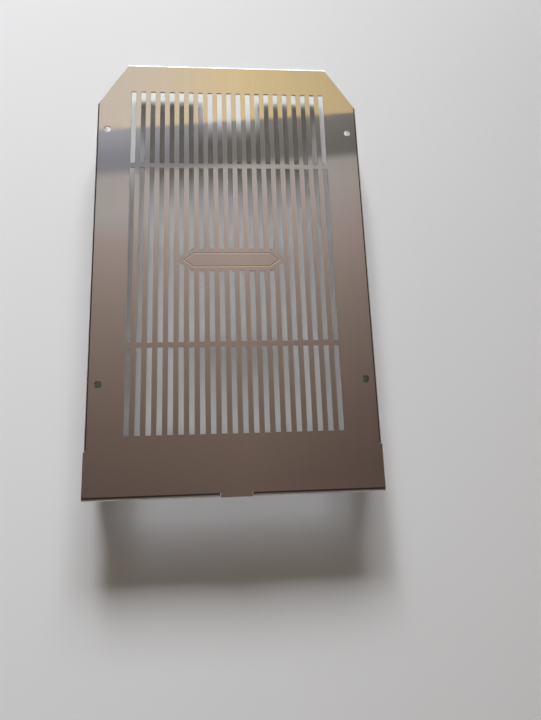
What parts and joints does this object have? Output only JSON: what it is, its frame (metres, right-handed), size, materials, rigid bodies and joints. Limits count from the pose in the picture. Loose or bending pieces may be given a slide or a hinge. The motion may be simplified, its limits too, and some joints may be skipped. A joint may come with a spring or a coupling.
{
  "type": "motorcycle radiator guard",
  "caption": "Folded stainless sheet guard with rows of upright air slots, chamfered upper corners, side and top flanges and bolt holes, which shields a motorcycle radiator from stones.",
  "frame": {"origin": "under the middle of the guard, on the surface that its side flanges stand on", "axes": "+X across the guard, +Y towards its top flange, +Z out of its slotted front face"},
  "size_m": [0.248, 0.41, 0.04],
  "materials": {
    "polished_stainless": "polished"
  },
  "bodies": {
    "root": {"guard_sheet": "polished_stainless"}
  },
  "joints": []
}
